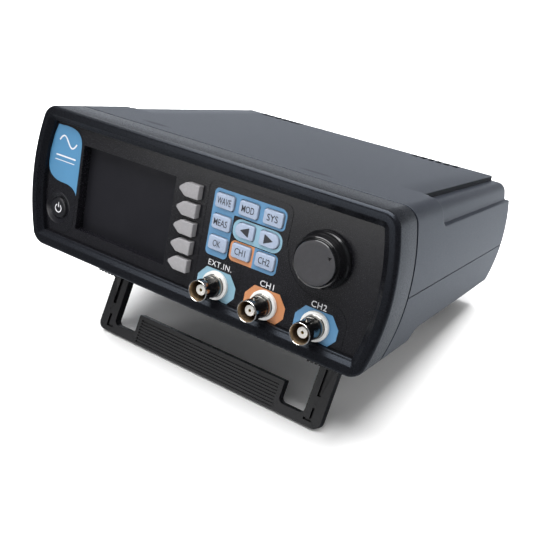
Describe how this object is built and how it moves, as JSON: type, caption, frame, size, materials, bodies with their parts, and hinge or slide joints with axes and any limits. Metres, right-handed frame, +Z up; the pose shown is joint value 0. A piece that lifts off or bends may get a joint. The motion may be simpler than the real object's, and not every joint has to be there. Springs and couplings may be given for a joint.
{
  "type": "function generator",
  "caption": "Desktop function generator with colour-screen recess, side and keypad keys, rotary knob, coaxial sockets and a fold-out front bail.",
  "frame": {"origin": "on the table, mid-width, under the line on which the rear feet rest when the bail is open", "axes": "+X to the right seen from the front, +Y to the back along the table, +Z up; the case itself leans back by 17.4 degrees on its open bail"},
  "size_m": [0.2, 0.1931, 0.1249],
  "materials": {
    "shell_plastic": "fine moulded texture",
    "bezel_plastic": "smooth satin",
    "panel_plastic": "fine moulded texture",
    "film_print": "printed satin film",
    "window_glass": "glossy smoked window",
    "lcd_steel": "stamped sheet",
    "lcd_glass": "glossy dark panel",
    "board_green": "solder mask",
    "screw_steel": "zinc plated",
    "screw_black": "black oxide",
    "softkey_grey": "matt elastomer",
    "keypad_grey": "matt key caps",
    "power_black": "satin",
    "switch_black": "moulded",
    "knob_black": "glossy skirt, dull face",
    "encoder_steel": "machined",
    "socket_nickel": "bright nickel plate",
    "insulator_white": "smooth",
    "contact_gold": "gold plate",
    "lead_sleeve": "smooth sleeve",
    "heatsink_aluminium": "extruded",
    "ribbon_grey": "ribbed cable",
    "connector_black": "moulded",
    "connector_steel": "stamped shield",
    "connector_gold": "gold plate",
    "connector_white": "smooth",
    "foot_plastic": "moulded, ribbed sole",
    "bail_plastic": "fine moulded texture"
  },
  "bodies": {
    "case": {"top_shell": "shell_plastic", "bottom_shell": "shell_plastic", "front_bezel": "bezel_plastic", "front_panel": "panel_plastic", "rear_panel": "panel_plastic", "left_film": "film_print", "keypad_film": "film_print", "display_window": "window_glass", "lcd_frame": "lcd_steel", "lcd_glass": "lcd_glass", "display_board": "board_green", "key_board": "board_green", "board_screws": "screw_steel", "power_switch": "switch_black", "tact_switches": "switch_black", "encoder_body": "encoder_steel", "encoder_nut": "encoder_steel", "socket_ext_in": "socket_nickel", "socket_ch1": "socket_nickel", "socket_ch2": "socket_nickel", "socket_insulators": "insulator_white", "socket_contacts": "contact_gold", "socket_nuts": "socket_nickel", "socket_leads": "lead_sleeve", "main_board": "board_green", "main_board_screws": "screw_steel", "main_chips": "switch_black", "heatsink": "heatsink_aluminium", "buzzer": "switch_black", "ribbon_cables": "ribbon_grey", "dc_jack": "connector_black", "usb_socket": "connector_steel", "usb_tongue": "connector_white", "sync_header": "connector_black", "connector_pins": "connector_gold", "case_screws": "screw_black", "front_foot_left": "foot_plastic", "front_foot_right": "foot_plastic", "rear_feet": "foot_plastic", "foot_screws": "screw_black"},
    "bail_body": {"bail": "bail_plastic"},
    "knob_body": {"knob": "knob_black", "encoder_shaft": "encoder_steel"},
    "softkey_1_body": {"softkey_1": "softkey_grey"},
    "softkey_2_body": {"softkey_2": "softkey_grey"},
    "softkey_3_body": {"softkey_3": "softkey_grey"},
    "softkey_4_body": {"softkey_4": "softkey_grey"},
    "softkey_5_body": {"softkey_5": "softkey_grey"},
    "key_wave_body": {"key_wave": "keypad_grey"},
    "key_mod_body": {"key_mod": "keypad_grey"},
    "key_sys_body": {"key_sys": "keypad_grey"},
    "key_meas_body": {"key_meas": "keypad_grey"},
    "key_left_body": {"key_left": "keypad_grey"},
    "key_right_body": {"key_right": "keypad_grey"},
    "key_ok_body": {"key_ok": "keypad_grey"},
    "key_ch1_body": {"key_ch1": "keypad_grey"},
    "key_ch2_body": {"key_ch2": "keypad_grey"},
    "power_button_body": {"power_button": "power_black"}
  },
  "joints": [
    {"name": "bail_hinge", "type": "hinge", "parent": "case", "child": "bail_body", "pos_m": [0, -0.09149, 0.03608], "axis": [1, 0, 0], "range_deg": [0, 106.4]},
    {"name": "knob_turn", "type": "hinge", "parent": "case", "child": "knob_body", "pos_m": [0.067, -0.11727, 0.09785], "axis": [0, -0.954, 0.2997], "continuous": true},
    {"name": "softkey_1_press", "type": "slide", "parent": "case", "child": "softkey_1_body", "axis": [0, 0.954, -0.2997], "range_m": [0, 0.0005], "stiffness_N_per_m": 600},
    {"name": "softkey_2_press", "type": "slide", "parent": "case", "child": "softkey_2_body", "axis": [0, 0.954, -0.2997], "range_m": [0, 0.0005], "stiffness_N_per_m": 600},
    {"name": "softkey_3_press", "type": "slide", "parent": "case", "child": "softkey_3_body", "axis": [0, 0.954, -0.2997], "range_m": [0, 0.0005], "stiffness_N_per_m": 600},
    {"name": "softkey_4_press", "type": "slide", "parent": "case", "child": "softkey_4_body", "axis": [0, 0.954, -0.2997], "range_m": [0, 0.0005], "stiffness_N_per_m": 600},
    {"name": "softkey_5_press", "type": "slide", "parent": "case", "child": "softkey_5_body", "axis": [0, 0.954, -0.2997], "range_m": [0, 0.0005], "stiffness_N_per_m": 600},
    {"name": "key_wave_press", "type": "slide", "parent": "case", "child": "key_wave_body", "axis": [0, 0.954, -0.2997], "range_m": [0, 0.0005], "stiffness_N_per_m": 600},
    {"name": "key_mod_press", "type": "slide", "parent": "case", "child": "key_mod_body", "axis": [0, 0.954, -0.2997], "range_m": [0, 0.0005], "stiffness_N_per_m": 600},
    {"name": "key_sys_press", "type": "slide", "parent": "case", "child": "key_sys_body", "axis": [0, 0.954, -0.2997], "range_m": [0, 0.0005], "stiffness_N_per_m": 600},
    {"name": "key_meas_press", "type": "slide", "parent": "case", "child": "key_meas_body", "axis": [0, 0.954, -0.2997], "range_m": [0, 0.0005], "stiffness_N_per_m": 600},
    {"name": "key_left_press", "type": "slide", "parent": "case", "child": "key_left_body", "axis": [0, 0.954, -0.2997], "range_m": [0, 0.0005], "stiffness_N_per_m": 600},
    {"name": "key_right_press", "type": "slide", "parent": "case", "child": "key_right_body", "axis": [0, 0.954, -0.2997], "range_m": [0, 0.0005], "stiffness_N_per_m": 600},
    {"name": "key_ok_press", "type": "slide", "parent": "case", "child": "key_ok_body", "axis": [0, 0.954, -0.2997], "range_m": [0, 0.0005], "stiffness_N_per_m": 600},
    {"name": "key_ch1_press", "type": "slide", "parent": "case", "child": "key_ch1_body", "axis": [0, 0.954, -0.2997], "range_m": [0, 0.0005], "stiffness_N_per_m": 600},
    {"name": "key_ch2_press", "type": "slide", "parent": "case", "child": "key_ch2_body", "axis": [0, 0.954, -0.2997], "range_m": [0, 0.0005], "stiffness_N_per_m": 600},
    {"name": "power_press", "type": "slide", "parent": "case", "child": "power_button_body", "axis": [0, 0.954, -0.2997], "range_m": [0, 0.001], "stiffness_N_per_m": 600}
  ]
}
